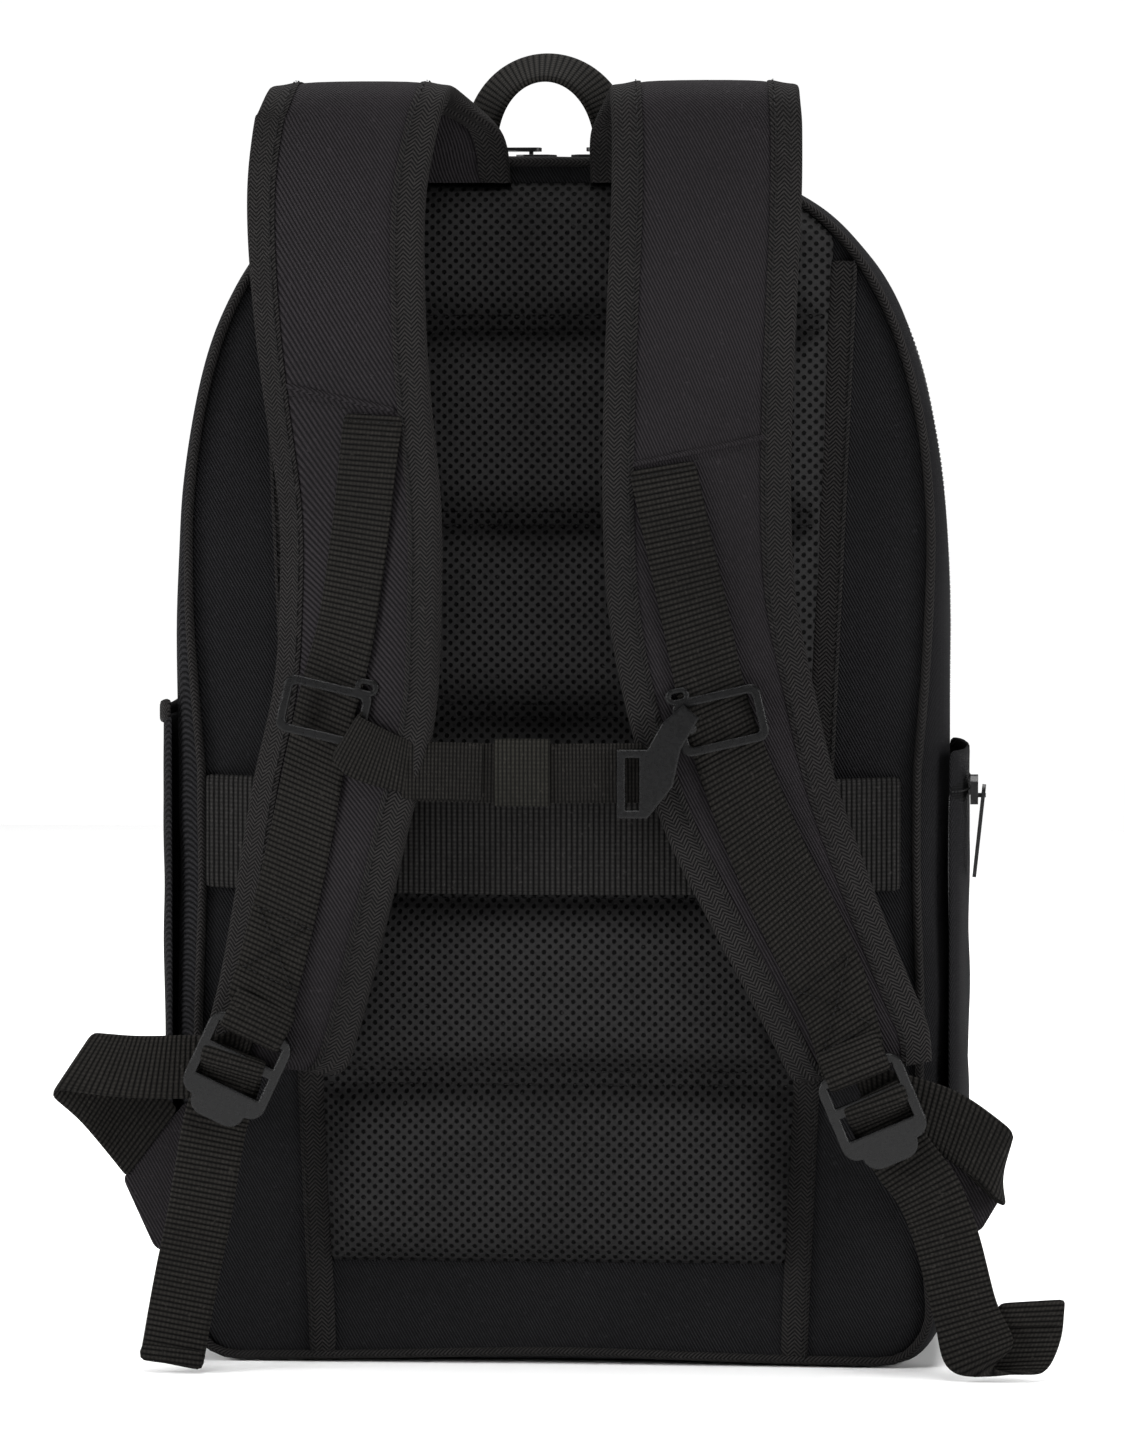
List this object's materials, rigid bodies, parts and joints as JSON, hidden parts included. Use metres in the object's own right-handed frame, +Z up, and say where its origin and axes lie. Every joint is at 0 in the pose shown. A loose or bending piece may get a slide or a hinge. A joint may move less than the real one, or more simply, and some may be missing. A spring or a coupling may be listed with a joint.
{
  "type": "school backpack",
  "caption": "Black school backpack with padded mesh back, sternum strap, trolley band, zipped front that opens as a lid, front pocket and two side pockets.",
  "frame": {"origin": "middle of the base's rear edge, on the floor, at the back panel's outer face", "axes": "+Z up, -Y towards the wearer, +X to the right seen from the wearer's side"},
  "size_m": [0.3892, 0.2366, 0.5078],
  "materials": {
    "body_twill": "woven polyester twill, near black",
    "strap_twill": "woven polyester twill, near black",
    "webbing": "ribbed nylon webbing, black",
    "binding_tape": "herringbone tape, black",
    "mesh": "spacer mesh, black",
    "elastic": "knitted elastic, olive grey",
    "lining": "plain lining cloth, dark grey",
    "foam": "closed-cell foam",
    "board": "smooth sheet",
    "zip_tape": "nylon coil and tape",
    "hardware": "moulded acetal, satin",
    "slider": "painted zinc, black"
  },
  "bodies": {
    "root": {"back_panel": "body_twill", "frame_sheet": "board", "back_pads": "foam", "air_mesh": "mesh", "trolley_band": "webbing", "panel_tape_left": "binding_tape", "panel_tape_right": "binding_tape", "rear_piping": "binding_tape", "rear_gusset": "body_twill", "base_tub": "body_twill", "base_pad": "foam", "laptop_divider": "lining", "laptop_tab": "lining", "main_zip_rear": "zip_tape", "bottle_pocket": "body_twill", "bottle_pocket_hem": "binding_tape", "side_pocket": "body_twill", "side_pocket_zip": "zip_tape", "strap_root_left": "strap_twill", "strap_root_right": "strap_twill", "handle_tabs": "webbing", "lower_anchor_left": "strap_twill", "lower_anchor_right": "strap_twill", "webbing_loop_left": "webbing", "webbing_loop_right": "webbing"},
    "lid": {"front_shell": "body_twill", "main_zip_front": "zip_tape", "organiser_panel": "lining", "front_pocket": "body_twill", "front_pocket_zip": "zip_tape"},
    "main_slider_left": {"main_slider_left": "slider"},
    "main_slider_right": {"main_slider_right": "slider"},
    "main_pull_left": {"main_pull_left": "slider"},
    "main_pull_right": {"main_pull_right": "slider"},
    "front_slider": {"front_slider": "slider"},
    "front_pull": {"front_pull": "slider"},
    "side_slider": {"side_slider": "slider"},
    "side_pull": {"side_pull": "slider"},
    "handle": {"grab_handle": "webbing"},
    "strap_left": {"shoulder_pad_left": "strap_twill", "strap_binding_left": "binding_tape", "strap_webbing_left": "webbing"},
    "strap_right": {"shoulder_pad_right": "strap_twill", "strap_binding_right": "binding_tape", "strap_webbing_right": "webbing"},
    "ring_left": {"strap_ring_left": "hardware"},
    "ring_right": {"strap_ring_right": "hardware"},
    "lock_left": {"ladder_lock_left": "hardware", "webbing_tail_left": "webbing"},
    "lock_right": {"ladder_lock_right": "hardware", "webbing_tail_right": "webbing"},
    "sternum": {"sternum_webbing": "webbing"},
    "keeper": {"sternum_keeper": "elastic"},
    "hook": {"sternum_hook": "hardware"}
  },
  "joints": [
    {"name": "lid_hinge", "type": "hinge", "parent": "root", "child": "lid", "pos_m": [0, 0.1553, 0.0602], "axis": [-1, 0, 0], "range_deg": [0, 85]},
    {"name": "main_zip_left", "type": "slide", "parent": "root", "child": "main_slider_left", "axis": [-1, 0, 0], "range_m": [0, 0.04]},
    {"name": "main_zip_right", "type": "slide", "parent": "root", "child": "main_slider_right", "axis": [1, 0, 0], "range_m": [0, 0.04]},
    {"name": "main_pull_left_swing", "type": "hinge", "parent": "main_slider_left", "child": "main_pull_left", "pos_m": [-0.016, 0.105, 0.4731], "axis": [0, 1, 0], "range_deg": [0, 110]},
    {"name": "main_pull_right_swing", "type": "hinge", "parent": "main_slider_right", "child": "main_pull_right", "pos_m": [0.006, 0.105, 0.4731], "axis": [0, -1, 0], "range_deg": [0, 110]},
    {"name": "front_zip", "type": "slide", "parent": "lid", "child": "front_slider", "axis": [1, 0, 0], "range_m": [0, 0.172]},
    {"name": "front_pull_swing", "type": "hinge", "parent": "front_slider", "child": "front_pull", "pos_m": [-0.088, 0.1963, 0.262], "axis": [1, 0, 0], "range_deg": [0, 90]},
    {"name": "side_zip", "type": "slide", "parent": "root", "child": "side_slider", "axis": [0, 1, 0], "range_m": [0, 0.062]},
    {"name": "side_pull_swing", "type": "hinge", "parent": "side_slider", "child": "side_pull", "pos_m": [0.1636, 0.018, 0.222], "axis": [0, -1, 0], "range_deg": [0, 90]},
    {"name": "handle_tilt", "type": "hinge", "parent": "root", "child": "handle", "pos_m": [-0.005, 0.0135, 0.4678], "axis": [-1, 0, 0], "range_deg": [0, 55]},
    {"name": "strap_swing_left", "type": "hinge", "parent": "root", "child": "strap_left", "pos_m": [-0.078, -0.0215, 0.475], "axis": [-1, 0, 0], "range_deg": [0, 16]},
    {"name": "strap_swing_right", "type": "hinge", "parent": "root", "child": "strap_right", "pos_m": [0.058, -0.0215, 0.475], "axis": [-1, 0, 0], "range_deg": [0, 16]},
    {"name": "ring_slide_left", "type": "slide", "parent": "strap_left", "child": "ring_left", "axis": [-0.17, 0, -0.9854], "range_m": [-0.025, 0.03]},
    {"name": "ring_slide_right", "type": "slide", "parent": "strap_right", "child": "ring_right", "axis": [0.224, 0, -0.9746], "range_m": [-0.025, 0.03]},
    {"name": "sternum_swing", "type": "hinge", "parent": "ring_left", "child": "sternum", "pos_m": [-0.0845, -0.0346, 0.242], "axis": [0, 0, -1], "range_deg": [0, 100]},
    {"name": "hook_slide", "type": "slide", "parent": "sternum", "child": "hook", "axis": [1, 0, 0], "range_m": [-0.0099, 0.0119]},
    {"name": "keeper_slide", "type": "slide", "parent": "sternum", "child": "keeper", "axis": [1, 0, 0], "range_m": [-0.02, 0.008]},
    {"name": "lock_tilt_left", "type": "hinge", "parent": "strap_left", "child": "lock_left", "pos_m": [-0.11399, -0.0335, 0.13231], "axis": [-0.9063, 0, 0.4226], "range_deg": [0, 25]},
    {"name": "lock_tilt_right", "type": "hinge", "parent": "strap_right", "child": "lock_right", "pos_m": [0.11597, -0.0335, 0.11857], "axis": [-0.9205, 0, -0.3907], "range_deg": [0, 25]}
  ],
  "couplings": [
    {"joint": "strap_swing_right", "follows": "strap_swing_left", "ratio": 1},
    {"joint": "ring_slide_right", "follows": "ring_slide_left", "ratio": 1},
    {"joint": "hook_slide", "follows": "ring_slide_left", "ratio": 0.394}
  ]
}
